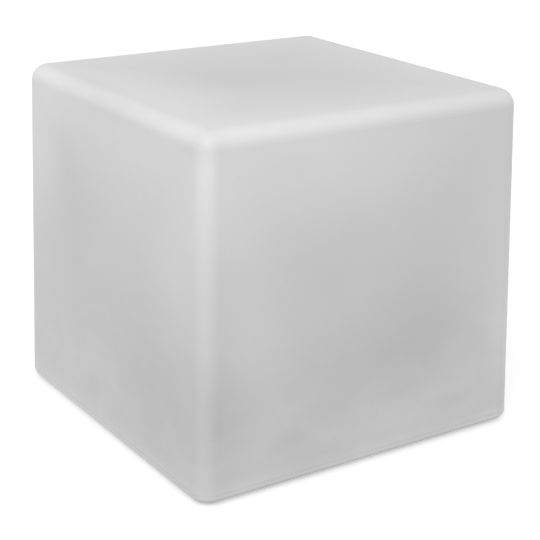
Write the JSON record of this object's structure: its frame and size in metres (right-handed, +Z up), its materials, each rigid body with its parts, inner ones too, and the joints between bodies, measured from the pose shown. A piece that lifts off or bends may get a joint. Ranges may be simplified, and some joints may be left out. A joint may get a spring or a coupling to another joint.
{
  "type": "led cube light",
  "caption": "Cordless outdoor cube light: a hollow translucent moulded cube on rubber feet, with a rechargeable light module that turns into its underside.",
  "frame": {"origin": "on the floor under the middle of the cube", "axes": "+Z up through the top face, +X and +Y square to the upright faces"},
  "size_m": [0.43, 0.43, 0.4],
  "materials": {
    "shell": "satin rotomoulded polyethylene, translucent white",
    "module_plastic": "fine texture moulded ABS, white",
    "ring_plastic": "moulded ABS, off white",
    "foot_rubber": "matt grey rubber",
    "seal_rubber": "soft dark silicone",
    "plug_rubber": "soft grey silicone",
    "button_rubber": "soft grey silicone over plastic",
    "black_plastic": "moulded, semi gloss",
    "connector_plastic": "natural nylon",
    "brass": "turned and knurled",
    "contact_metal": "tinned",
    "screw_steel": "zinc plated",
    "nickel": "nickel strip",
    "board_green": "solder mask",
    "board_white": "white solder mask",
    "led_body": "white moulded frame with a pale yellow lens",
    "lens_clear": "clear polycarbonate",
    "dome_clear": "lightly frosted polycarbonate",
    "aluminium": "blanked sheet, brushed",
    "pad_grey": "silicone heat pad",
    "cell_wrap": "shrink wrap, blue",
    "cell_steel": "nickel plated can",
    "wire_red": "wire insulation",
    "wire_black": "wire insulation",
    "wire_white": "wire insulation"
  },
  "bodies": {
    "shell": {"cube_shell": "shell", "shell_inserts": "brass", "rubber_feet": "foot_rubber", "ring_gasket": "seal_rubber", "lock_ring": "ring_plastic", "ring_screws": "screw_steel"},
    "light_module": {"module_base": "module_plastic", "module_barrel": "module_plastic", "grip_cup": "module_plastic", "module_seal": "seal_rubber", "button_seal": "seal_rubber", "switch_body": "black_plastic", "charge_socket": "black_plastic", "socket_pin": "contact_metal", "socket_nut": "contact_metal", "socket_contacts": "contact_metal", "plug_anchor": "plug_rubber", "control_board": "board_green", "board_screws": "screw_steel", "board_chips": "black_plastic", "board_capacitors": "cell_steel", "board_headers": "connector_plastic", "indicator_lens": "lens_clear", "indicator_lamp": "led_body", "battery_cells": "cell_steel", "cell_tabs": "nickel", "battery_wrap": "cell_wrap", "battery_cradle": "black_plastic", "cradle_screws": "screw_steel", "battery_plug": "connector_plastic", "battery_lead_red": "wire_red", "battery_lead_black": "wire_black", "heat_spreader": "aluminium", "heat_pad": "pad_grey", "led_board": "board_white", "led_chips": "led_body", "deck_screws": "screw_steel", "lead_grommet": "seal_rubber", "infrared_receiver": "black_plastic", "led_connector": "connector_plastic", "led_lead_plug": "connector_plastic", "led_lead": "wire_white", "dome_seal": "seal_rubber", "diffuser_dome": "dome_clear", "dome_ring": "module_plastic", "dome_screws": "screw_steel"},
    "button": {"power_button": "button_rubber", "switch_plunger": "black_plastic"},
    "socket_plug": {"charge_plug": "plug_rubber"}
  },
  "joints": [
    {"name": "module_turn", "type": "hinge", "parent": "shell", "child": "light_module", "pos_m": [0, 0, 0.0125], "axis": [0, 0, -1], "range_deg": [0, 25]},
    {"name": "button_press", "type": "slide", "parent": "light_module", "child": "button", "axis": [0, 0, 1], "range_m": [0, 0.0012], "stiffness_N_per_m": 900, "springref_m": -0.0006},
    {"name": "plug_swing", "type": "hinge", "parent": "light_module", "child": "socket_plug", "pos_m": [0.015, 0.056, 0.005], "axis": [0, -1, 0], "range_deg": [0, 110]}
  ]
}
